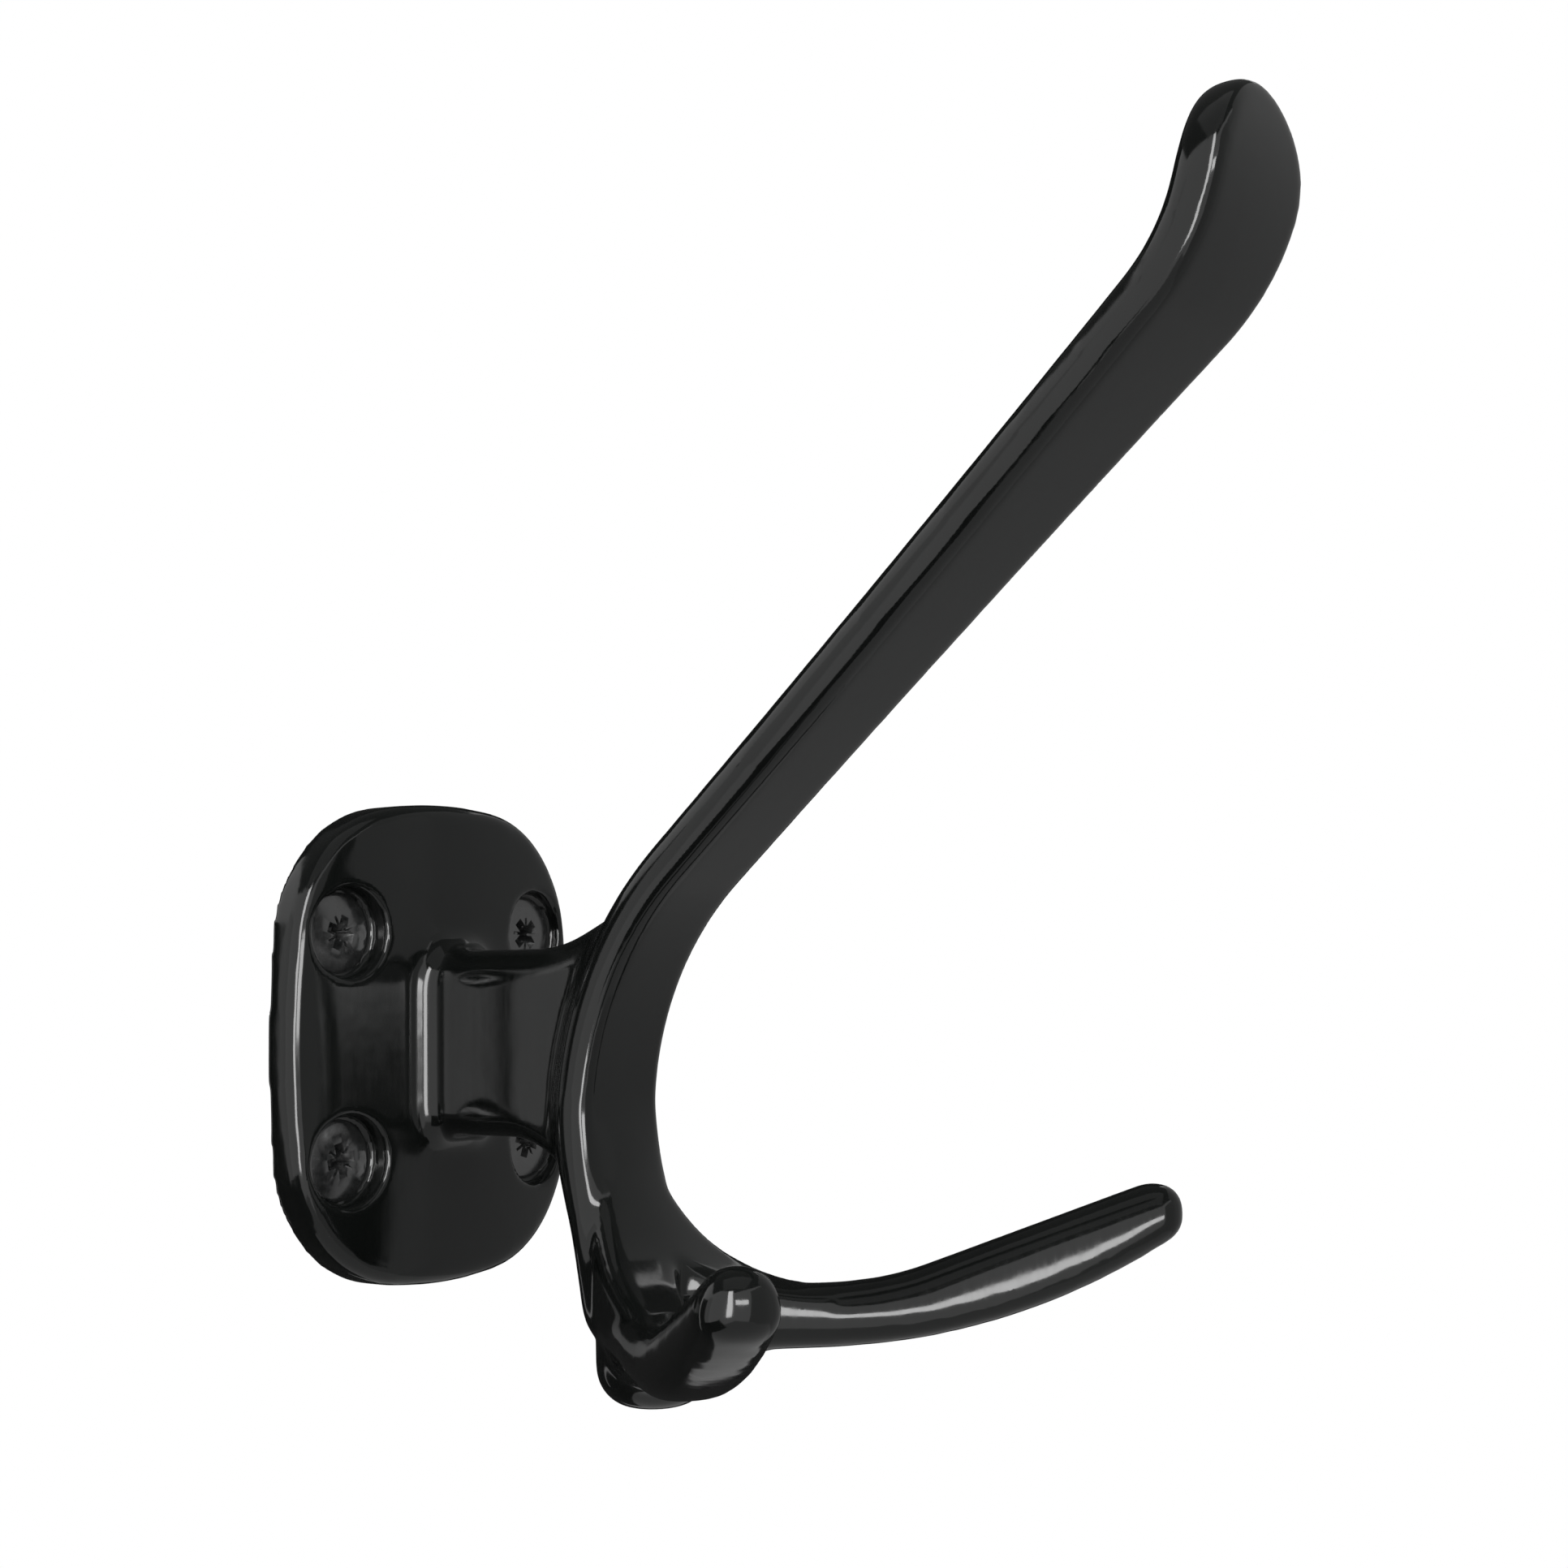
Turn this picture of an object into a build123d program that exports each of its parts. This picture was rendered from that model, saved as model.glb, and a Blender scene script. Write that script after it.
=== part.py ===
"""Three-prong coat hook: one die-cast hook on a crowned oval plate, held by four countersunk wood screws.

Frame: millimetres, +Z up. The back of the plate lies on the wall plane Y = 0, the origin is the
middle of the plate on that plane, and the hook stands out toward -Y. X is to the right.
"""
import math
import os

from build123d import *

os.makedirs("parts", exist_ok=True)

# base plate: an oval of side, end and corner arcs, crowned across its width
plate_half_width = 19.2
plate_half_height = 23.0
plate_side_radius = 90.0
plate_end_radius = 52.0
plate_corner_radius = 13.5
plate_edge_thickness = 3.6
plate_centre_thickness = 5.2
plate_edge_round = 1.5

# neck between the plate and the arm
neck_half_width = 4.2
neck_half_height = 8.75
neck_top_round = 3.4
neck_bottom_round = 2.4
neck_root_round = 2.8
neck_top_run = 16.5
neck_top_flare = 16.0
neck_top_turn = 25.0
neck_top_blend = 9.0
neck_bottom_run = 14.5
neck_bottom_flare = 8.0
neck_bottom_turn = 60.0
neck_bottom_blend = 6.0

# long arm: a bent flat bar with a rounded back and a rounded tip
arm_front = 26.0
arm_waist_height = -7.8
arm_thickness = 4.5
arm_low_radius = 42.0
arm_low_turn = 33.0
arm_heel_radius = 24.0
arm_heel_turn = 18.0
arm_heel_run = 18.0
arm_bend_radius = 29.0
arm_bend_turn = 49.2
arm_straight = 64.0
arm_curl_radius = 20.0
arm_curl_turn = 52.0
arm_top = 74.5
arm_waist_half_width = 5.45
arm_waist_level = 10.0
arm_tip_radius = 8.2
arm_foot = -27.0
arm_foot_round = 3.6
arm_front_round = 1.2
arm_back_round = 2.0

# two short prongs, mirror images, each in an upright plane turned by the splay angle
prong_root = 27.0
prong_splay = 42.4
prong_root_half_width = 3.6
prong_tip_half_width = 3.05
prong_low_reach = 18.0
prong_low_top = -22.2
prong_thickness = 5.6
prong_rise_radius = 30.0
prong_rise = 18.0
prong_reach = 51.3
prong_tip_thickness = 5.45
prong_tip_round = 2.55
prong_round = 2.6
prong_rear = 0.5

# crook: the web that turns the arm's front forward onto the prongs
crook_radius = 17.0
crook_depth = 2.4
crook_sink = 0.5
crook_inset = 0.8
crook_rear = 26.0
crook_root_half_width = 4.6
crook_reach = 18.0
crook_tip_half_width = 2.0
crook_inner_half_width = 3.3
crook_round = 1.2

# heel under the arm, where the two prongs part
knuckle_radius = 5.3
knuckle_front = 29.5
knuckle_foot = -32.25
knuckle_round = 3.6
knuckle_sink = 1.0
heel_step = 0.2
heel_root_radius = 5.0
heel_reach = 12.0

# screw holes in the plate and the screws in them
hole_side_margin = 6.4
hole_end_margin = 12.5
hole_rim_round = 0.5
hole_past_back = 1.0
head_radius = 3.75
head_clearance = 0.5
head_face = 2.7
shank_radius = 1.6
thread_radius = 2.0
thread_start = 0.8
thread_clearance = 0.3
screw_length = 25.0
point_length = 4.0
head_crown = 0.35
slot_length = 4.6
slot_width = 1.3
slot_depth = 1.4
slot_taper = 13.0
screw_turn = 20.0
screw_turn_step = 29.0

# corner arc of the plate: tangent inside both the side arc and the end arc
side_centre = plate_half_width - plate_side_radius
end_centre = plate_half_height - plate_end_radius
side_reach = plate_side_radius - plate_corner_radius
end_reach = plate_end_radius - plate_corner_radius
span = math.hypot(side_centre, end_centre)
along = (side_reach**2 - end_reach**2 + span**2) / (2 * span)
across = math.sqrt(side_reach**2 - along**2)
corner_x = side_centre - (along * side_centre + across * end_centre) / span
corner_z = (along * end_centre - across * side_centre) / span
side_x = side_centre + (corner_x - side_centre) * plate_side_radius / side_reach
side_z = corner_z * plate_side_radius / side_reach
end_x = corner_x * plate_end_radius / end_reach
end_z = end_centre + (corner_z - end_centre) * plate_end_radius / end_reach
corner_step = plate_corner_radius * math.sqrt(0.5)

with BuildPart() as plate:
    with BuildSketch(Plane.XZ):
        with BuildLine():
            ThreePointArc((side_x, -side_z), (plate_half_width, 0), (side_x, side_z))
            ThreePointArc((side_x, side_z), (corner_x + corner_step, corner_z + corner_step), (end_x, end_z))
            ThreePointArc((end_x, end_z), (0, plate_half_height), (-end_x, end_z))
            ThreePointArc((-end_x, end_z), (-corner_x - corner_step, corner_z + corner_step), (-side_x, side_z))
            ThreePointArc((-side_x, side_z), (-plate_half_width, 0), (-side_x, -side_z))
            ThreePointArc((-side_x, -side_z), (-corner_x - corner_step, -corner_z - corner_step), (-end_x, -end_z))
            ThreePointArc((-end_x, -end_z), (0, -plate_half_height), (end_x, -end_z))
            ThreePointArc((end_x, -end_z), (corner_x + corner_step, -corner_z - corner_step), (side_x, -side_z))
        make_face()
    extrude(amount=plate_centre_thickness)
    with BuildSketch(Plane.XY):
        with BuildLine():
            Line((-plate_half_width, 0), (plate_half_width, 0))
            Line((plate_half_width, 0), (plate_half_width, -plate_edge_thickness))
            ThreePointArc(
                (plate_half_width, -plate_edge_thickness),
                (0, -plate_centre_thickness),
                (-plate_half_width, -plate_edge_thickness),
            )
            Line((-plate_half_width, -plate_edge_thickness), (-plate_half_width, 0))
        make_face()
    extrude(amount=plate_half_height, both=True, mode=Mode.INTERSECT)
    front_face = plate.faces().sort_by(Axis.Y)[0]
    fillet(front_face.edges(), plate_edge_round)

# neck: a flat web in the middle plane, flaring up and down into the back of the arm
with BuildPart() as neck:
    with BuildSketch(Plane.YZ):
        with BuildLine():
            top_line = Line((-plate_edge_thickness / 2, neck_half_height), (-neck_top_run, neck_half_height))
            top_flare = JernArc(top_line @ 1, (-1, 0), neck_top_flare, -neck_top_turn)
            top_blend = Line(top_flare @ 1, top_flare @ 1 + (top_flare % 1) * neck_top_blend)
            bottom_line = Line((-plate_edge_thickness / 2, -neck_half_height), (-neck_bottom_run, -neck_half_height))
            bottom_flare = JernArc(bottom_line @ 1, (-1, 0), neck_bottom_flare, neck_bottom_turn)
            bottom_blend = Line(bottom_flare @ 1, bottom_flare @ 1 + (bottom_flare % 1) * neck_bottom_blend)
            Line(top_blend @ 1, bottom_blend @ 1)
            Line(top_line @ 0, bottom_line @ 0)
        make_face()
    extrude(amount=neck_half_width, both=True)
    for way, round_radius in ((1, neck_top_round), (-1, neck_bottom_round)):
        long_edges = neck.edges().filter_by(
            lambda e: abs(e.center().X) > neck_half_width / 2 and e.center().Z * way > neck_half_height / 2
        )
        fillet(long_edges, round_radius)

# long arm: its side outline, cut to its front outline, then both rims rounded
tip_level = arm_top - arm_tip_radius
tip_rise = tip_level - arm_waist_level
side_sweep = (arm_waist_half_width**2 + tip_rise**2 - arm_tip_radius**2) / (
    2 * (arm_tip_radius - arm_waist_half_width)
)
side_x0 = arm_waist_half_width + side_sweep
tip_join_x = side_x0 * arm_tip_radius / (side_sweep + arm_tip_radius)
tip_join_z = arm_waist_level + tip_rise * side_sweep / (side_sweep + arm_tip_radius)
foot_half_width = side_x0 - math.sqrt(side_sweep**2 - (arm_waist_level - arm_foot) ** 2)
with BuildPart() as arm:
    with BuildSketch(Plane.YZ):
        with BuildLine():
            front_low = JernArc((-arm_front, arm_waist_height), (0, -1), arm_low_radius, -arm_low_turn)
            front_bend = JernArc((-arm_front, arm_waist_height), (0, 1), arm_bend_radius, arm_bend_turn)
            front_line = Line(front_bend @ 1, front_bend @ 1 + (front_bend % 1) * arm_straight)
            front_curl = JernArc(front_line @ 1, front_line % 1, arm_curl_radius, -arm_curl_turn)
            front_tip = Line(front_curl @ 1, front_curl @ 1 + (front_curl % 1) * arm_tip_radius * 2)
            back = arm_thickness - arm_front
            back_heel = JernArc((back, arm_waist_height), (0, -1), arm_heel_radius, -arm_heel_turn)
            back_low = Line(back_heel @ 1, back_heel @ 1 + (back_heel % 1) * arm_heel_run)
            back_bend = JernArc((back, arm_waist_height), (0, 1), arm_bend_radius + arm_thickness, arm_bend_turn)
            back_line = Line(back_bend @ 1, back_bend @ 1 + (back_bend % 1) * arm_straight)
            back_curl = JernArc(back_line @ 1, back_line % 1, arm_curl_radius - arm_thickness, -arm_curl_turn)
            back_tip = Line(back_curl @ 1, back_curl @ 1 + (back_curl % 1) * arm_tip_radius * 2)
            Line(front_tip @ 1, back_tip @ 1)
            Line(front_low @ 1, back_low @ 1)
        make_face()
    extrude(amount=2 * arm_tip_radius, both=True)
    with BuildSketch(Plane.XZ) as arm_outline:
        with BuildLine():
            ThreePointArc((foot_half_width, arm_foot), (arm_waist_half_width, arm_waist_level), (tip_join_x, tip_join_z))
            ThreePointArc((tip_join_x, tip_join_z), (0, arm_top), (-tip_join_x, tip_join_z))
            ThreePointArc((-tip_join_x, tip_join_z), (-arm_waist_half_width, arm_waist_level), (-foot_half_width, arm_foot))
            Line((-foot_half_width, arm_foot), (foot_half_width, arm_foot))
        make_face()
        fillet(arm_outline.vertices().group_by(Axis.Y)[0], arm_foot_round)
    extrude(amount=4 * arm_front, mode=Mode.INTERSECT)
    rim = arm.edges().filter_by(
        lambda e: abs((e % 0.5).Y) < 0.99
        and (e.geom_type != GeomType.LINE or abs((e % 0.5).X) < 0.99 or e.center().Z < arm_foot + 0.1)
    )
    front_faces = arm.faces().filter_by(lambda f: f.normal_at().Y < -0.1)
    front_rim = rim.filter_by(lambda e: any(e.is_same(other) for other in front_faces.edges()))
    fillet(front_rim, arm_front_round)
    back_faces = arm.faces().filter_by(lambda f: f.normal_at().Y > 0.1)
    side_faces = arm.faces().filter_by(lambda f: abs(f.normal_at().Y) < 0.02)
    back_rim = back_faces.edges().filter_by(lambda e: any(e.is_same(other) for other in side_faces.edges()))
    fillet(back_rim, arm_back_round)

# one prong: its side outline in the splayed plane, cut to a tapered plan, all its long edges rounded
splay = math.radians(prong_splay)
out_x = math.sin(splay)
out_y = -math.cos(splay)
prong_plane = Plane(origin=(0, -prong_root, 0), x_dir=(out_x, out_y, 0), z_dir=(out_y, -out_x, 0))
prong_plan = Plane(origin=(0, -prong_root, knuckle_foot), x_dir=(out_x, out_y, 0), z_dir=(0, 0, 1))
under_level = prong_low_top - prong_thickness
with BuildPart() as prong:
    with BuildSketch(prong_plane) as prong_side:
        with BuildLine():
            rise = JernArc((prong_low_reach, prong_low_top), (1, 0), prong_rise_radius, prong_rise)
            run = (prong_reach - (rise @ 1).X) / math.cos(math.radians(prong_rise))
            top_run = Line(rise @ 1, rise @ 1 + (rise % 1) * run)
            under_end = top_run @ 1 - Vector(0, prong_tip_thickness)
            under = TangentArc((prong_low_reach, under_level), under_end, tangent=(1, 0))
            Line(top_run @ 1, under_end)
            Polyline(
                rise @ 0,
                (-prong_thickness, prong_low_top),
                (-prong_thickness, under_level),
                under @ 0,
            )
        make_face()
        fillet(prong_side.vertices().group_by(Axis.X)[-1], prong_tip_round)
    extrude(amount=3 * prong_root_half_width, both=True)
    rear_outer = (prong_root_half_width * out_x + prong_rear) / -out_y
    rear_inner = (-prong_root_half_width * out_x + prong_rear) / -out_y
    with BuildSketch(prong_plan):
        with BuildLine():
            Polyline(
                (rear_inner, -prong_root_half_width),
                (prong_reach + prong_tip_half_width, -prong_tip_half_width),
                (prong_reach + prong_tip_half_width, prong_tip_half_width),
                (rear_outer, prong_root_half_width),
                close=True,
            )
        make_face()
    extrude(amount=arm_top, mode=Mode.INTERSECT)
    flanks = prong.faces().filter_by(lambda f: abs(f.normal_at().dot(prong_plane.z_dir)) > 0.9)
    fillet(flanks.edges().filter_by(lambda e: e.center().Y < -prong_root - 2 * prong_rear), prong_round)

# half of the crook: its side curve under the arm, cut to a wedge that runs out along the prong
crook_level = prong_low_top - crook_sink + crook_radius
crook_outer_start = (crook_root_half_width * out_x + crook_rear - prong_root) / -out_y
crook_inner_start = (-crook_inner_half_width * out_x + crook_rear - prong_root) / -out_y
with BuildPart() as crook:
    with BuildSketch(Plane.YZ):
        with BuildLine():
            crook_curve = JernArc((crook_inset - arm_front, crook_level), (0, -1), crook_radius, -90)
            Polyline(
                crook_curve @ 1,
                crook_curve @ 1 + Vector(0, -crook_depth),
                (crook_inset - arm_front, crook_level - crook_radius - crook_depth),
                crook_curve @ 0,
            )
        make_face()
    extrude(amount=crook_reach, both=True)
    with BuildSketch(prong_plan):
        with BuildLine():
            Polyline(
                (crook_outer_start, crook_root_half_width),
                (crook_reach, crook_tip_half_width),
                (crook_reach, -crook_inner_half_width),
                (crook_inner_start, -crook_inner_half_width),
                close=True,
            )
        make_face()
    extrude(amount=arm_top, mode=Mode.INTERSECT)
    flanks_in_order = crook.faces().sort_by(Axis(origin=(0, 0, 0), direction=(-out_y, out_x, 0)))
    flank_edges = flanks_in_order[0].edges() + flanks_in_order[-1].edges()
    fillet(flank_edges.filter_by(GeomType.LINE, reverse=True), crook_round)

# knuckle: the rounded heel under the arm where the two prongs part
with BuildPart() as knuckle:
    with BuildSketch(Plane.XY.offset(knuckle_foot)):
        with Locations((0, -knuckle_front)):
            Circle(knuckle_radius)
    extrude(amount=prong_low_top - knuckle_foot - knuckle_sink)
    fillet(knuckle.edges().group_by(Axis.Z)[0], knuckle_round)

# half of the heel's blend: a cone from the knuckle out into the prong
heel_start = Vector(0, -knuckle_front, knuckle_foot + heel_step + heel_root_radius)
heel_stop = Vector(out_x * heel_reach, out_y * heel_reach - prong_root, prong_low_top - prong_thickness / 2)
with BuildPart() as heel:
    with BuildSketch(Plane(origin=heel_start, z_dir=heel_stop - heel_start)):
        Circle(heel_root_radius)
    with BuildSketch(Plane(origin=heel_stop, z_dir=heel_stop - heel_start)):
        Circle(prong_thickness / 2)
    loft()

# the four holes: through bore, cone that the head seats on, and the bore that lets the head down
with BuildPart() as hole:
    with BuildSketch(Plane.XY):
        bore = thread_radius + thread_clearance
        with BuildLine():
            Polyline(
                (0, hole_past_back),
                (bore, hole_past_back),
                (bore, head_radius - bore - head_face),
                (head_radius, -head_face),
                (head_radius + head_clearance, -head_face),
                (head_radius + head_clearance, -2 * plate_centre_thickness),
                (0, -2 * plate_centre_thickness),
                close=True,
            )
        make_face()
    revolve(axis=Axis.Y)

hole_x = plate_half_width - hole_side_margin
hole_z = plate_half_height - hole_end_margin
hole_spots = [(x, z) for z in (hole_z, -hole_z) for x in (-hole_x, hole_x)]

# the casting in one piece: the drilled plate, the neck blended into it, then the arm and the prongs
with BuildPart() as hook_body:
    add(plate.part)
    for x, z in hole_spots:
        with Locations((x, 0, z)):
            add(hole.part, mode=Mode.SUBTRACT)
    rims = hook_body.edges().filter_by(
        lambda e: e.length > 6 * head_radius
        and abs(abs(e.bounding_box().center().X) - hole_x) < 0.2
        and e.bounding_box().center().Y < -head_face - 0.3
    )
    fillet(rims, hole_rim_round)
    add(neck.part)
    root_ring = hook_body.edges().filter_by(
        lambda e: abs(e.center().X) < neck_half_width + hole_rim_round
        and abs(e.center().Z) < neck_half_height + hole_rim_round
        and -plate_centre_thickness - hole_rim_round < e.center().Y < -plate_edge_thickness
    )
    fillet(root_ring, neck_root_round)
    add(arm.part)
    add(knuckle.part)
    for side in (crook.part, prong.part, heel.part):
        add(side)
        add(mirror(side, about=Plane.YZ, mode=Mode.PRIVATE))
hook_body.part.label = "hook_body"
export_step(hook_body.part, "parts/hook_body.step")

# one screw on the Y axis: raised countersunk head, plain shank, thread's envelope, point and cross recess
crown_radius = (head_radius**2 + head_crown**2) / (2 * head_crown)
crown_turn = math.degrees(math.asin(head_radius / crown_radius))
thread_step = thread_radius - shank_radius
with BuildPart() as screw:
    with BuildSketch(Plane.XY):
        with BuildLine():
            Line((0, screw_length - head_face), (0, -head_face - head_crown))
            crown = JernArc((0, -head_face - head_crown), (1, 0), crown_radius, crown_turn)
            Polyline(
                crown @ 1,
                (shank_radius, head_radius - shank_radius - head_face),
                (shank_radius, thread_start - thread_step),
                (thread_radius, thread_start),
                (thread_radius, screw_length - head_face - point_length),
                (0, screw_length - head_face),
            )
        make_face()
    revolve(axis=Axis.Y)
    with BuildSketch(Plane.XZ.offset(head_face + 2 * head_crown)):
        Rectangle(slot_length, slot_width)
        Rectangle(slot_width, slot_length)
    extrude(amount=-slot_depth - 2 * head_crown, taper=slot_taper, mode=Mode.SUBTRACT)

with BuildPart() as wall_screws:
    for turn, (x, z) in enumerate(hole_spots):
        with Locations(Location((x, 0, z), (0, screw_turn + screw_turn_step * turn, 0))):
            add(screw.part)
wall_screws.part.label = "wall_screws"
export_step(wall_screws.part, "parts/wall_screws.step")
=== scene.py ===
# %% [markdown]
# Coat hook in gloss black lacquer
#
# The object is a three-prong coat hook for a wall: a crowned oval plate with four countersunk screws,
# a short neck, one long arm that leans out and curls up at its tip, and two short prongs below.
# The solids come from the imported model, in metres, with the wall on the plane Y = 0.
# This lesson keeps those solids as the frame and gives them the skin and the finish of the real casting.

# %% Load the frame
import math

import bmesh
import bpy
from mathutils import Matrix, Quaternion, Vector


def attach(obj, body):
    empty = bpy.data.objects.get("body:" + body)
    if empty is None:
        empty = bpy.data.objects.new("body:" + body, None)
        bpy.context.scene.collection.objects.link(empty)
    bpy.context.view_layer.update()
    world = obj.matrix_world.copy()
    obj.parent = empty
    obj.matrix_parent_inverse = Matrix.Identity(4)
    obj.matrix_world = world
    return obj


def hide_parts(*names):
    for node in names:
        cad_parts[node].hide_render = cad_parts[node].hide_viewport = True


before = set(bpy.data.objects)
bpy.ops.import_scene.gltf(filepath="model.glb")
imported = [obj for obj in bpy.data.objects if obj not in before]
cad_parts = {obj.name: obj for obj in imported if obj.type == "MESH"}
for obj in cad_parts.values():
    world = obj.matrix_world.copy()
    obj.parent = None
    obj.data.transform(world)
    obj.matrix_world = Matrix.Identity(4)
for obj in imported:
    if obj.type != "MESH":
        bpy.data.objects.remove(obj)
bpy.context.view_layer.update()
scene = bpy.context.scene
mm = 0.001

# %% [markdown]
# One skin over the casting
#
# On the real hook the neck, arm, prongs and heel run into each other without a line, because molten zinc
# fills a die whose inner corners are all rounded and the casting is then tumbled smooth.
# Bevels can't follow joins that fade out, so a merged copy of the solid gets one even skin of small quads
# from a voxel remesh. It rounds edges by about its own step, so its points settle back onto the solid.

# %% Merged copy of the solid
weld_gap = 0.001 * mm
cad_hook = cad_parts["hook_body"]
casting = bpy.data.objects.new("hook_casting", cad_hook.data.copy())
scene.collection.objects.link(casting)
skin = bmesh.new()
skin.from_mesh(casting.data)
bmesh.ops.remove_doubles(skin, verts=skin.verts, dist=weld_gap)
skin.to_mesh(casting.data)
skin.free()
print("merged copy:", len(casting.data.vertices), "points")

# %% Even skin, settled onto the solid
skin_step = 0.375 * mm


def apply_modifiers(piece):
    graph = bpy.context.evaluated_depsgraph_get()
    finished = bpy.data.meshes.new_from_object(piece.evaluated_get(graph))
    piece.modifiers.clear()
    piece.data = finished


remesh = casting.modifiers.new("cast skin", "REMESH")
remesh.mode = "VOXEL"
remesh.voxel_size = skin_step
settle = casting.modifiers.new("back onto the solid", "SHRINKWRAP")
settle.target = cad_hook
settle.wrap_method = "NEAREST_SURFACEPOINT"
apply_modifiers(casting)
print("casting skin:", len(casting.data.vertices), "points,", len(casting.data.polygons), "faces")

# %% [markdown]
# The sweep of the arm
#
# The arm's front is one hollow sweep from its foot to the leaning part, and the neck's web ends inside it.
# In the solid the flat end of that web stands a little in front of the sweep, so those points of the skin go
# back onto it. The sweep is two arcs that meet at the arm's waist, so a point's height gives its depth.
# One soft dab, as a sculptor's thumb gives, then brings the foot of the arm to the photograph.

# %% Web back onto the sweep
front_y = -26 * mm
waist_z = -7.8 * mm
bend_radius = 29 * mm
low_radius = 42 * mm
web_half_width = 4.45 * mm
web_below_waist = 3 * mm
web_above_waist = 16 * mm
moved = 0
for point in casting.data.vertices:
    rise = point.co.z - waist_z
    if abs(point.co.x) < web_half_width and -web_below_waist < rise < web_above_waist:
        radius = bend_radius if rise > 0 else low_radius
        sweep_y = front_y - radius + math.sqrt(radius**2 - rise**2)
        moved += point.co.y < sweep_y
        point.co.y = max(point.co.y, sweep_y)
print("points of the web moved back:", moved)

# %% Dab on the arm's foot
foot_spot = Vector((0, -26 * mm, -14.5 * mm))
foot_reach = 11 * mm
foot_push = Vector((0, -1.2 * mm, 0))
pushed = 0
for point in casting.data.vertices:
    near = max(0, 1 - ((point.co - foot_spot).length / foot_reach) ** 2)
    point.co += foot_push * near**2
    pushed += near > 0
print("points of the foot pushed forward:", pushed)

# %% [markdown]
# Draft and ends of the prongs
#
# A die lets a casting go only if its walls lean a little, so a real prong is narrower above than below,
# and its end is round in plan. Both are small changes to the solid's bars, so they are made on the skin,
# with each point measured along its prong and across it. The draft starts softly near the heel.

# %% Draft and rounded ends
prong_root = Vector((0, -27 * mm, 0))
prong_angle = math.radians(42.4)
prong_ceiling = -8 * mm
prong_level = -25 * mm
prong_rise_from = 18 * mm
prong_rise_radius = 59 * mm
prong_half_height = 2.8 * mm
draft = 0.14
draft_from = 14 * mm
draft_run = 12 * mm
end_from = 48.9 * mm
end_margin = 0.1 * mm
end_radius = 3.05 * mm
end_depth = 2.4 * mm
rounded = 0
for point in casting.data.vertices:
    hand = math.copysign(1, point.co.x)
    along = Vector((hand * math.sin(prong_angle), -math.cos(prong_angle), 0))
    across = Vector((hand * math.cos(prong_angle), math.sin(prong_angle), 0))
    out = (point.co - prong_root).dot(along)
    aside = (point.co - prong_root).dot(across)
    if out > draft_from and point.co.z < prong_ceiling:
        middle_z = prong_level + max(0, out - prong_rise_from) ** 2 / (2 * prong_rise_radius)
        lift = (point.co.z - middle_z) / prong_half_height
        point.co -= across * aside * draft * lift * min(1, (out - draft_from) / draft_run)
    if out > end_from - end_margin and point.co.z < prong_ceiling:
        end = end_from + math.sqrt(max(0, 1 - (aside / end_radius) ** 2)) * end_depth
        point.co += along * (min(out, end) - out)
        rounded += out > end
print("points of the prong ends rounded:", rounded)

# %% [markdown]
# Relaxed joins
#
# Where two parts of a casting meet, the light runs over a soft hollow and finds no line. The skin gets this
# from a smoothing that is strong near each join and on the arm's back, and light everywhere else.
# Two vertex groups hold the shares, so the smoothing fades out and leaves the rims of the screw holes crisp.

# %% Where the parts meet
hole_x = 12.8 * mm
hole_z = 10.5 * mm
screw_places = [Vector((x, 0, z)) for z in (hole_z, -hole_z) for x in (-hole_x, hole_x)]
# Each join is its middle, its reach and its strength.
joins = [
    (Vector((0, -28 * mm, -14 * mm)), 9 * mm, 0.2),
    (Vector((0, -30 * mm, -25 * mm)), 13 * mm, 0.4),
    (Vector((0, -23 * mm, 13 * mm)), 9 * mm, 1.0),
    (Vector((0, -22 * mm, -12 * mm)), 8 * mm, 1.0),
]
neck_corners = [Vector((x * mm, -6 * mm, z * mm)) for x in (-5, 5) for z in (9, -9)]
joins += [(corner, 4 * mm, 1.0) for corner in neck_corners]
print("joins:", len(joins), "and screw holes:", len(screw_places))

# %% Shares of the smoothing
join_gain = 2
back_facing = Vector((0, 0.8, 0.6))
back_most = 0.7
back_from_y = -21 * mm
back_from_z = -22 * mm
rim_keep = 5.2 * mm
rim_fade = 1.5 * mm
join_group = casting.vertex_groups.new(name="joins")
skin_group = casting.vertex_groups.new(name="skin")
for point in casting.data.vertices:
    join_near = max(strength * (1 - (point.co - spot).length / reach) for spot, reach, strength in joins)
    join_share = min(1, join_gain * max(0, join_near))
    if point.co.y < back_from_y and point.co.z > back_from_z:
        join_share = max(join_share, min(back_most, join_gain * point.normal.dot(back_facing)))
    if join_share > 0:
        join_group.add([point.index], join_share, "REPLACE")
    rim_far = min(math.hypot(point.co.x - hole.x, point.co.z - hole.z) for hole in screw_places) - rim_keep
    if rim_far > 0:
        skin_group.add([point.index], min(1, rim_far / rim_fade), "REPLACE")
print("vertex groups:", [group.name for group in casting.vertex_groups])

# %% Relax the joins and then the whole skin
join_passes = 45
skin_passes = 16
for group, passes in ((join_group, join_passes), (skin_group, skin_passes)):
    relax = casting.modifiers.new("relaxed " + group.name, "SMOOTH")
    relax.vertex_group = group.name
    relax.factor = 0.5
    relax.iterations = passes
apply_modifiers(casting)
for face in casting.data.polygons:
    face.use_smooth = True
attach(casting, "root")
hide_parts("hook_body")
print("relaxed", len(joins), "joins and", len(casting.data.vertices), "points of skin")

# %% [markdown]
# Nodes and colours
#
# Every finish below is a small node tree. One helper adds a node with its settings and links,
# and one turns the sRGB hex of a colour chart into the linear numbers that the shader works in.
# A noise is given by the real width of its marks, and a gloss by the two roughnesses that it lies between.


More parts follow.
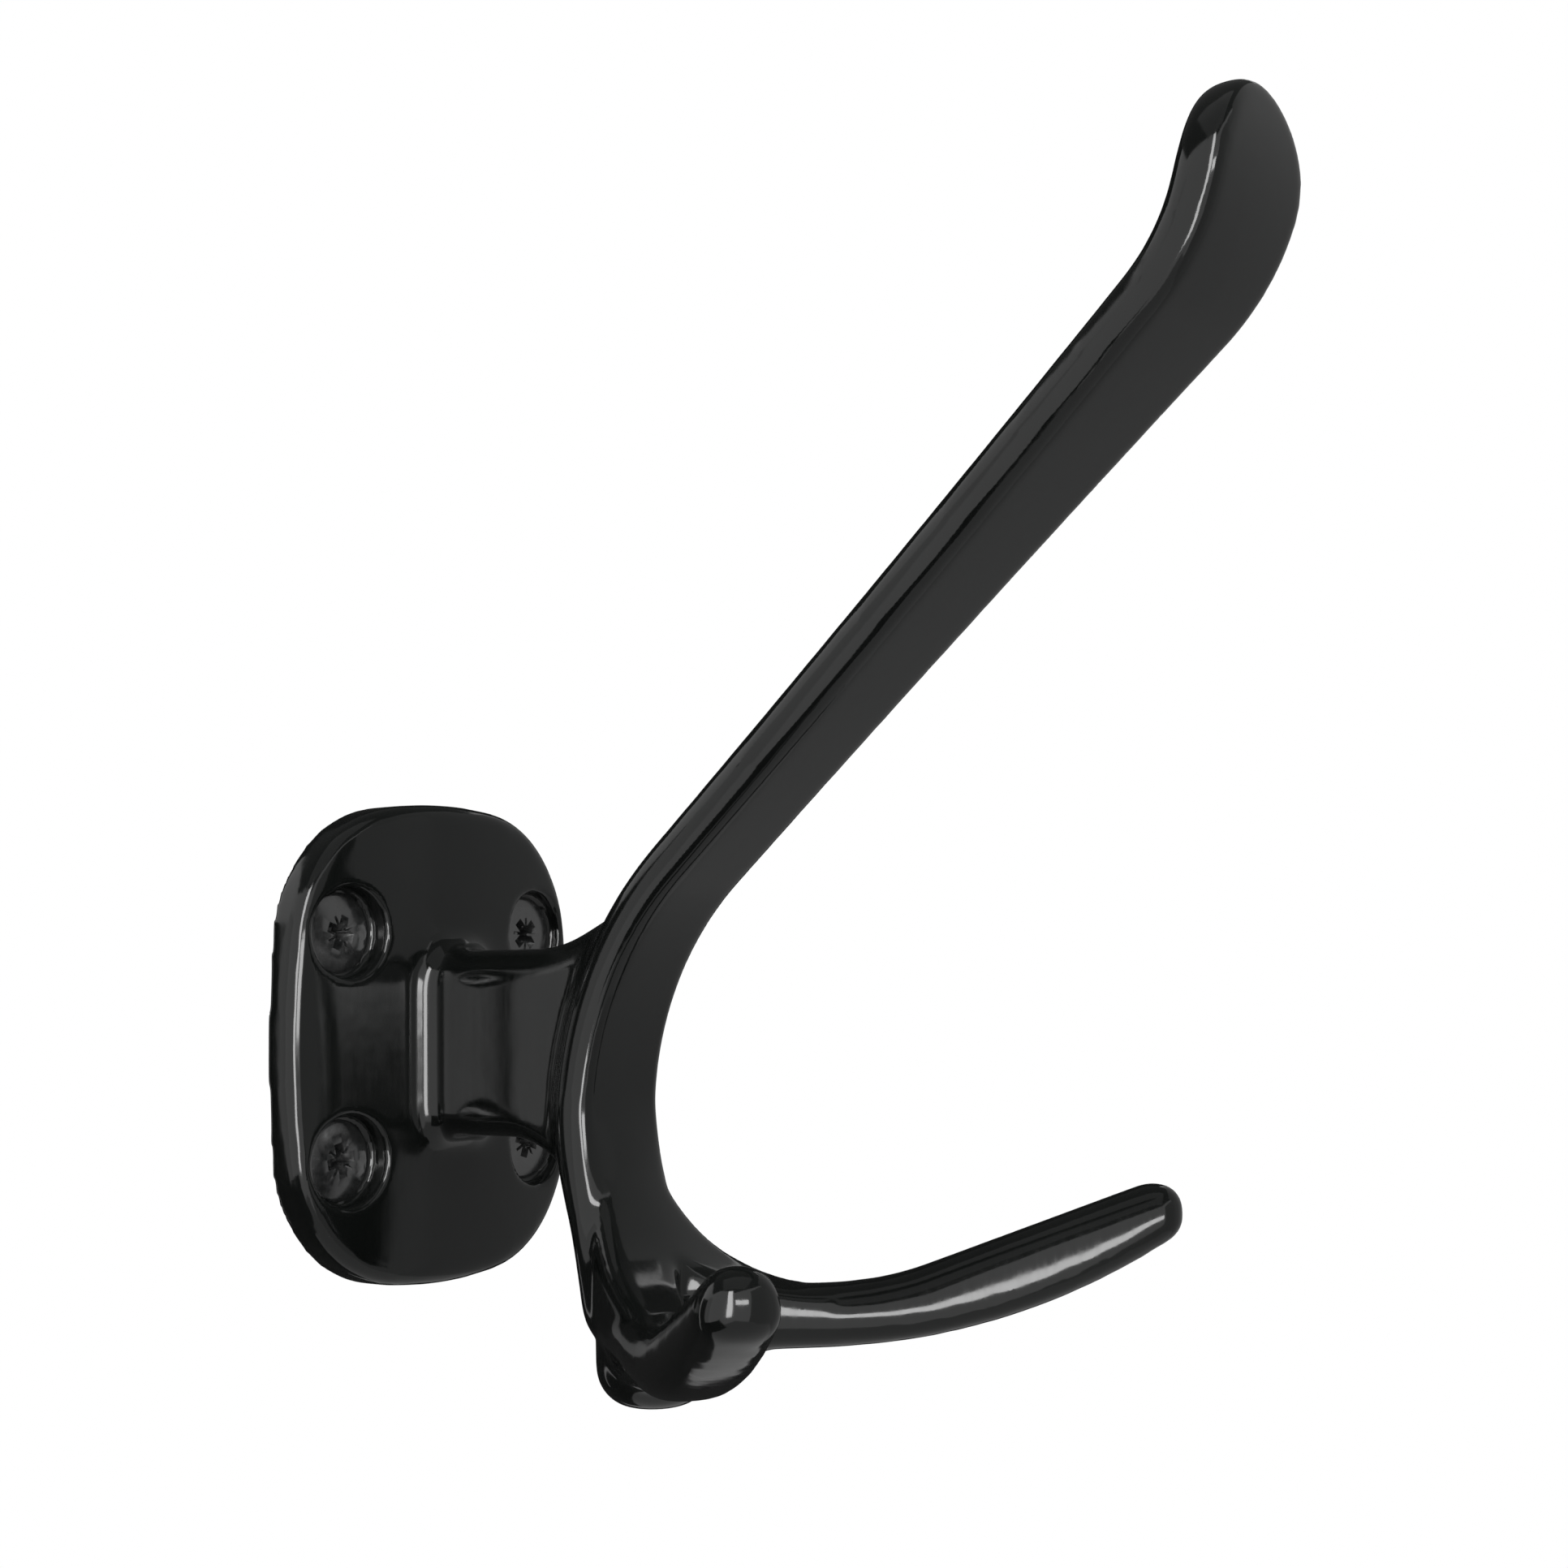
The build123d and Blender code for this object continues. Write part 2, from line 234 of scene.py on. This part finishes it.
# %% Helpers for materials
def linear(code):
    parts = [int(code[i : i + 2], 16) / 255 for i in (1, 3, 5)]
    return [p / 12.92 if p <= 0.04045 else ((p + 0.055) / 1.055) ** 2.4 for p in parts] + [1.0]


def add_node(tree, kind, settings=None, inputs=None):
    node = tree.nodes.new(kind)
    for name, value in (settings or {}).items():
        setattr(node, name, value)
    for name, value in (inputs or {}).items():
        if isinstance(value, bpy.types.NodeSocket):
            tree.links.new(value, node.inputs[name])
        else:
            node.inputs[name].default_value = value
    return node


def new_finish(name):
    finish = bpy.data.materials.new(name)
    finish.use_nodes = True
    finish.node_tree.nodes.clear()
    return finish, finish.node_tree


def add_noise(tree, spot, width, detail):
    marks = {"Vector": spot, "Scale": 1 / width, "Detail": detail}
    return add_node(tree, "ShaderNodeTexNoise", inputs=marks)


def gloss_between(tree, pattern, least, most):
    ends = {"From Min": 0.3, "From Max": 0.7, "To Min": least, "To Max": most}
    return add_node(tree, "ShaderNodeMapRange", inputs={"Value": pattern.outputs["Fac"], **ends})


print("black:", [round(c, 4) for c in linear("#101212")])

# %% [markdown]
# Gloss black lacquer on zinc
#
# The casting is zinc alloy with a stoved black lacquer. To the eye it is almost black, with clear
# but slightly soft reflections, a faint waviness called orange peel, and fine rub marks on the flats.
# The peel is a bump of waves about 2 mm wide, and the rub marks only change how sharp the gloss is.

# %% Colour of the lacquer
cloud_width = 9 * mm
lacquer, tree = new_finish("gloss_black_lacquer_on_zinc")
spot = add_node(tree, "ShaderNodeTexCoord").outputs["Object"]
cloud = add_noise(tree, spot, cloud_width, 3.0)
shade = add_node(tree, "ShaderNodeValToRGB", inputs={"Fac": cloud.outputs["Fac"]})
shade.color_ramp.elements[0].color = linear("#0c0e0d")
shade.color_ramp.elements[1].color = linear("#181a19")
print("lacquer shades:", len(shade.color_ramp.elements), "in clouds of", round(cloud_width / mm, 1), "mm")

# %% Rub marks and orange peel
rub_width = 0.5 * mm
rub_squeeze = (1.0, 1.0, 0.12)
peel_width = 2.2 * mm
peel_depth = 0.03 * mm
rub_lie = add_node(tree, "ShaderNodeMapping", inputs={"Vector": spot, "Scale": rub_squeeze})
rub = add_noise(tree, rub_lie.outputs["Vector"], rub_width, 4.0)
gloss = gloss_between(tree, rub, 0.08, 0.14)
peel = add_noise(tree, spot, peel_width, 1.0)
skin_bump = add_node(
    tree,
    "ShaderNodeBump",
    inputs={"Height": peel.outputs["Fac"], "Strength": 0.3, "Distance": peel_depth},
)
print("rub marks", round(rub_width / mm, 1), "mm and peel", round(peel_width / mm, 1), "mm wide")

# %% Lacquer on the casting
surface = add_node(
    tree,
    "ShaderNodeBsdfPrincipled",
    inputs={
        "Base Color": shade.outputs["Color"],
        "Roughness": gloss.outputs["Result"],
        "Normal": skin_bump.outputs["Normal"],
        "IOR": 1.5,
    },
)
add_node(tree, "ShaderNodeOutputMaterial", inputs={"Surface": surface.outputs["BSDF"]})
casting.data.materials.clear()
casting.data.materials.append(lacquer)
print("lacquer on", casting.name)

# %% [markdown]
# Wood screws
#
# Four countersunk wood screws with a low raised head, a cross recess and a rolled thread hold the plate.
# The turned body is a profile spun round its axis, the recess is cut by tapered blades,
# and the thread is a small triangle spun many turns while it climbs by its pitch.

# %% Turned body on the Y axis
head_radius = 3.75 * mm
head_face = -2.7 * mm
head_rise = 0.35 * mm
shank_radius = 1.6 * mm
core_radius = 1.35 * mm
screw_end = 22.3 * mm
point_length = 3.4 * mm
round_steps = 48
outline = [
    (0, head_face - head_rise),
    (1.3 * mm, head_face - 0.31 * mm),
    (2.6 * mm, head_face - 0.18 * mm),
    (3.4 * mm, head_face - 0.06 * mm),
    (head_radius, head_face),
    (shank_radius, head_face + head_radius - shank_radius),
    (shank_radius, 0.4 * mm),
    (core_radius, 0.8 * mm),
    (core_radius, screw_end - point_length),
    (0, screw_end),
]
screw = bmesh.new()
corners = [screw.verts.new((r, y, 0)) for r, y in outline]
sides = [screw.edges.new(pair) for pair in zip(corners, corners[1:])]
bmesh.ops.spin(
    screw,
    geom=corners + sides,
    cent=(0, 0, 0),
    axis=(0, 1, 0),
    angle=math.tau,
    steps=round_steps,
    use_merge=True,
)
bmesh.ops.remove_doubles(screw, verts=screw.verts, dist=weld_gap)
bmesh.ops.recalc_face_normals(screw, faces=screw.faces)
screw_mesh = bpy.data.meshes.new("turned_screw")
screw.to_mesh(screw_mesh)
screw.free()
print("turned screw:", len(screw_mesh.polygons), "faces")

# %% Cutter for the recess
# Each row is the turn in degrees, the length, the width and the depth of a pair of crossed blades.
blade_sizes = [(0, 4.6 * mm, 1.25 * mm, 1.9 * mm), (45, 5.0 * mm, 0.4 * mm, 0.5 * mm)]
blade_taper = (0.45, 1, 0.6)
cutter = bmesh.new()
for turn, length, width, depth in blade_sizes:
    for quarter in (0, 90):
        blade = bmesh.ops.create_cube(cutter, size=1.0)["verts"]
        bmesh.ops.scale(cutter, verts=blade, vec=(length, 2 * depth, width))
        deep = [v for v in blade if v.co.y > 0]
        bmesh.ops.scale(cutter, verts=deep, vec=blade_taper)
        spin = Quaternion((0, 1, 0), math.radians(turn + quarter)).to_matrix()
        bmesh.ops.rotate(cutter, verts=blade, cent=(0, 0, 0), matrix=spin)
bmesh.ops.translate(cutter, verts=cutter.verts, vec=(0, head_face - head_rise, 0))
cutter_mesh = bpy.data.meshes.new("recess_cutter")
cutter.to_mesh(cutter_mesh)
cutter.free()
print("blades in the cutter:", 2 * len(blade_sizes))

# %% Cut the recess and wear the corners
corner_wear = 0.16 * mm
corner_angle = math.radians(35)
screw_blank = bpy.data.objects.new("screw_blank", screw_mesh)
recess = bpy.data.objects.new("recess", cutter_mesh)
for made in (screw_blank, recess):
    scene.collection.objects.link(made)
cut = screw_blank.modifiers.new("cross recess", "BOOLEAN")
cut.operation = "DIFFERENCE"
cut.solver = "EXACT"
cut.use_self = True
cut.object = recess
soften = screw_blank.modifiers.new("worn corners", "BEVEL")
soften.width = corner_wear
soften.segments = 2
soften.limit_method = "ANGLE"
soften.angle_limit = corner_angle
apply_modifiers(screw_blank)
blank_mesh = screw_blank.data
for spare in (screw_blank, recess):
    bpy.data.objects.remove(spare)
print("screw with its recess:", len(blank_mesh.polygons), "faces")

# %% Roll the thread
thread_start = 1.2 * mm
thread_radius = 2.0 * mm
thread_root = core_radius - 0.1 * mm
thread_half_height = 0.45 * mm
thread_pitch = 1.6 * mm
thread_turns = 10
thread_steps = 20
ridge = [(thread_root, -thread_half_height), (thread_radius, 0), (thread_root, thread_half_height)]
threaded = bmesh.new()
threaded.from_mesh(blank_mesh)
corners = [threaded.verts.new((r, thread_start + y, 0)) for r, y in ridge]
face = threaded.faces.new(corners)
bmesh.ops.spin(
    threaded,
    geom=[face] + list(face.edges) + corners,
    cent=(0, 0, 0),
    axis=(0, 1, 0),
    dvec=(0, thread_pitch / thread_steps, 0),
    angle=math.tau * thread_turns,
    steps=thread_steps * thread_turns,
)
threaded_mesh = bpy.data.meshes.new("threaded_screw")
threaded.to_mesh(threaded_mesh)
threaded.free()
print("threaded screw:", len(threaded_mesh.polygons), "faces")

# %% Set four screws
first_turn = 20
next_turn = 29
crease_angle = math.radians(40)
screw_set = bmesh.new()
for index, place in enumerate(screw_places):
    one = bmesh.new()
    one.from_mesh(threaded_mesh)
    spin = Quaternion((0, 1, 0), math.radians(first_turn + next_turn * index)).to_matrix()
    bmesh.ops.rotate(one, verts=one.verts, cent=(0, 0, 0), matrix=spin)
    bmesh.ops.translate(one, verts=one.verts, vec=place)
    bmesh.ops.recalc_face_normals(one, faces=one.faces)
    placed = bpy.data.meshes.new("placed_screw")
    one.to_mesh(placed)
    one.free()
    screw_set.from_mesh(placed)
    bpy.data.meshes.remove(placed)
open_edges = sum(1 for edge in screw_set.edges if not edge.is_manifold)
for face in screw_set.faces:
    face.smooth = True
screws_mesh = bpy.data.meshes.new("wood_screws")
screw_set.to_mesh(screws_mesh)
screw_set.free()
screws_mesh.set_sharp_from_angle(angle=crease_angle)
wood_screws = bpy.data.objects.new("wood_screws", screws_mesh)
scene.collection.objects.link(wood_screws)
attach(wood_screws, "root")
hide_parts("wall_screws")
print("four screws:", len(screws_mesh.polygons), "faces,", open_edges, "open edges")

# %% [markdown]
# Black finish of the screws
#
# The screws are steel with a black oxide and oil finish: nearly black, with small bright glints
# on the corners of the recess, a fine grain, and a gloss a little less even than the lacquer's.
# The eye meets a film of iron oxide, not bare metal, so the shader isn't metallic and has the film's IOR.

# %% Screw finish
grain_width = 0.7 * mm
blacked, tree = new_finish("black_oxide_steel")
spot = add_node(tree, "ShaderNodeTexCoord").outputs["Object"]
grain = add_noise(tree, spot, grain_width, 4.0)
shade = add_node(tree, "ShaderNodeValToRGB", inputs={"Fac": grain.outputs["Fac"]})
shade.color_ramp.elements[0].color = linear("#141515")
shade.color_ramp.elements[1].color = linear("#303131")
gloss = gloss_between(tree, grain, 0.14, 0.28)
surface = add_node(
    tree,
    "ShaderNodeBsdfPrincipled",
    inputs={"Base Color": shade.outputs["Color"], "Roughness": gloss.outputs["Result"], "IOR": 2.3},
)
add_node(tree, "ShaderNodeOutputMaterial", inputs={"Surface": surface.outputs["BSDF"]})
wood_screws.data.materials.append(blacked)
print("screw finish on", wood_screws.name)

# %% [markdown]
# The studio
#
# The photograph shows the hook on pure white, so the world, the wall patch behind the plate and the floor
# are white to the camera and give plain soft light otherwise. The world is white in reflections too, but the
# wall patch and the floor stay out of them, where the grey and black cards further down take their place.
# The wall patch hides the screw shanks as a real wall would, and is clear from behind.


# %% White paper
def seen_white(tree):
    path = add_node(tree, "ShaderNodeLightPath")
    either = add_node(tree, "ShaderNodeMath", {"operation": "MAXIMUM"})
    tree.links.new(path.outputs["Is Camera Ray"], either.inputs[0])
    tree.links.new(path.outputs["Is Glossy Ray"], either.inputs[1])
    seen = add_node(tree, "ShaderNodeMath", {"operation": "MAXIMUM"})
    tree.links.new(either.outputs[0], seen.inputs[0])
    tree.links.new(path.outputs["Is Transmission Ray"], seen.inputs[1])
    return seen.outputs[0]


def mix_shaders(tree, share, first, second):
    ends = {0: share, 1: first.outputs[0], 2: second.outputs[0]}
    return add_node(tree, "ShaderNodeMixShader", inputs=ends)


paper, tree = new_finish("white_studio_paper")
matt = add_node(tree, "ShaderNodeBsdfDiffuse", inputs={"Color": linear("#e8e8e8")})
white = add_node(tree, "ShaderNodeEmission", inputs={"Color": linear("#ffffff"), "Strength": 1.0})
front = mix_shaders(tree, seen_white(tree), matt, white)
clear = add_node(tree, "ShaderNodeBsdfTransparent")
behind = add_node(tree, "ShaderNodeNewGeometry").outputs["Backfacing"]
both = mix_shaders(tree, behind, front, clear)
add_node(tree, "ShaderNodeOutputMaterial", inputs={"Surface": both.outputs[0]})
print("paper:", paper.name)

# %% Wall patch and floor
wall_side = 0.24
wall_place = (0, 0.0004, 0)
floor_side = 1.2
floor_place = (0, 0, -0.45)


def studio_card(name, width, height, turn, place):
    card = bmesh.new()
    bmesh.ops.create_grid(card, x_segments=1, y_segments=1, size=0.5)
    bmesh.ops.scale(card, verts=card.verts, vec=(width, height, 1))
    bmesh.ops.rotate(card, verts=card.verts, cent=(0, 0, 0), matrix=turn.to_matrix())
    bmesh.ops.translate(card, verts=card.verts, vec=place)
    mesh = bpy.data.meshes.new(name)
    card.to_mesh(mesh)
    card.free()
    made = bpy.data.objects.new(name, mesh)
    scene.collection.objects.link(made)
    return made


upright = Quaternion((1, 0, 0), math.radians(90))
wall = studio_card("wall_patch", wall_side, wall_side, upright, wall_place)
floor = studio_card("floor", floor_side, floor_side, Quaternion(), floor_place)
for card in (wall, floor):
    card.data.materials.append(paper)
    card.visible_glossy = False
print("wall patch faces", [round(c, 2) for c in wall.data.polygons[0].normal])

# %% World
world = bpy.data.worlds.new("white_studio")
scene.world = world
world.use_nodes = True
tree = world.node_tree
tree.nodes.clear()
soft = add_node(tree, "ShaderNodeBackground", inputs={"Color": linear("#ffffff"), "Strength": 0.4})
white = add_node(tree, "ShaderNodeBackground", inputs={"Color": linear("#ffffff"), "Strength": 1.0})
sky = mix_shaders(tree, seen_white(tree), soft, white)
add_node(tree, "ShaderNodeOutputWorld", inputs={"Surface": sky.outputs[0]})
print("world:", world.name)

# %% [markdown]
# Lamps
#
# Two strip softboxes at the left draw the photograph's white lines: the tall one those on the arm's tip,
# the plate's rim, the neck's root and the near prong's end, and the low one the streak on the far prong.
# Only reflections see them. A fill from above, which reflections don't see, gives the black its soft shade.
# Each lamp is set by how bright its face is, so a change of its size leaves the lines as white as before.

# %% Softboxes
studio_middle = Vector((0, -0.04, 0.01))


def studio_direction(azimuth, elevation):
    a = math.radians(azimuth)
    e = math.radians(elevation)
    return Vector((math.sin(a) * math.cos(e), -math.cos(a) * math.cos(e), math.sin(e)))


def softbox(name, azimuth, elevation, away, width, height, radiance):
    out = studio_direction(azimuth, elevation)
    lamp = bpy.data.lights.new(name, "AREA")
    lamp.shape = "RECTANGLE"
    lamp.size = width
    lamp.size_y = height
    lamp.energy = radiance * math.pi * width * height
    made = bpy.data.objects.new(name, lamp)
    made.location = studio_middle + out * away
    made.rotation_mode = "QUATERNION"
    made.rotation_quaternion = (-out).to_track_quat("-Z", "Y")
    made.visible_camera = False
    scene.collection.objects.link(made)
    return made


key = softbox("low_strip_softbox", -36, 3, 0.7, 0.26, 0.12, 10.0)
key.visible_diffuse = False
fill = softbox("top_fill", -20, 50, 0.8, 0.6, 0.6, 3.0)
fill.visible_glossy = False
tall = softbox("tall_strip_softbox", -59, 10, 0.7, 0.17, 0.75, 10.0)
tall.visible_diffuse = False
print("lamps:", key.name, fill.name, tall.name)

# %% [markdown]
# Flags
#
# A gloss black thing is lit by what it mirrors, so a photographer stands grey and black cards round it.
# The cards here are seen only by reflections. Grey ones in front, at the right, above and below give
# the plate, the arm's face and the undersides their dark grey. A light one at the left shows along the
# arm's side, in the neck's flare and on the plate's rim. Black ones behind, overhead and low at the left
# keep the rest dark.


# %% Studio flags
def studio_flag(name, azimuth, elevation, away, width, height, level):
    out = studio_direction(azimuth, elevation)
    turn = (-out).to_track_quat("Z", "Y")
    made = studio_card(name, width, height, turn, studio_middle + out * away)
    made.visible_camera = False
    made.visible_diffuse = False
    made.visible_shadow = False
    finish, tree = new_finish(name + "_card")
    glow = add_node(tree, "ShaderNodeEmission", inputs={"Color": linear("#ffffff"), "Strength": level})
    add_node(tree, "ShaderNodeOutputMaterial", inputs={"Surface": glow.outputs[0]})
    made.data.materials.append(finish)
    return made


# Each row is a name, azimuth and elevation in degrees, distance, width and height in metres, and a level.
flag_rows = [
    ("grey_flag_right", 75, -8, 0.6, 0.72, 1.3, 0.3),
    ("grey_flag_front", 14, -4, 0.62, 0.84, 1.0, 0.34),
    ("black_flag_rear", 146, 0, 0.6, 1.0, 1.4, 0.02),
    ("black_flag_overhead", 0, 90, 0.5, 1.2, 1.2, 0.08),
    ("grey_flag_top", -60, 72, 0.46, 0.5, 0.5, 0.3),
    ("black_flag_left_rear", -153, -22, 0.6, 0.34, 0.85, 0.03),
    ("grey_flag_left", -129, -2, 0.62, 0.2, 0.5, 0.75),
    ("black_flag_left_low", -110, -48, 0.58, 0.7, 0.5, 0.03),
    ("black_flag_rear_low", -170, -58, 0.56, 0.6, 0.5, 0.03),
    ("grey_flag_below", 0, -90, 0.5, 1.3, 1.3, 0.45),
    ("grey_flag_high", 52, 37, 0.48, 0.34, 0.17, 0.3),
    ("grey_flag_rear", 148, -4, 0.56, 0.74, 0.09, 0.15),
]
flags = [studio_flag(*row) for row in flag_rows]
print("flags:", [flag.name for flag in flags])

# %% [markdown]
# The camera
#
# The photograph was taken from the left and level with the plate, from about 22 cm,
# which is why the near prong looks so large. The place and the lens come from matching the outline.

# %% Camera
lens = bpy.data.cameras.new("photo_camera")
lens.sensor_width = 36.0
lens.lens = 51.113
lens.clip_start = 0.01
camera = bpy.data.objects.new("photo_camera", lens)
camera.location = (-0.15892, -0.15611, 0.00628)
look = Vector((0.8158, 0.5722, 0.0837))
roll = Quaternion((0, 0, 1), math.radians(-0.949))
camera.rotation_mode = "QUATERNION"
camera.rotation_quaternion = look.to_track_quat("-Z", "Y") @ roll
scene.collection.objects.link(camera)
scene.camera = camera
scene.view_settings.view_transform = "Standard"
print("camera looks along", [round(c, 3) for c in look.normalized()])
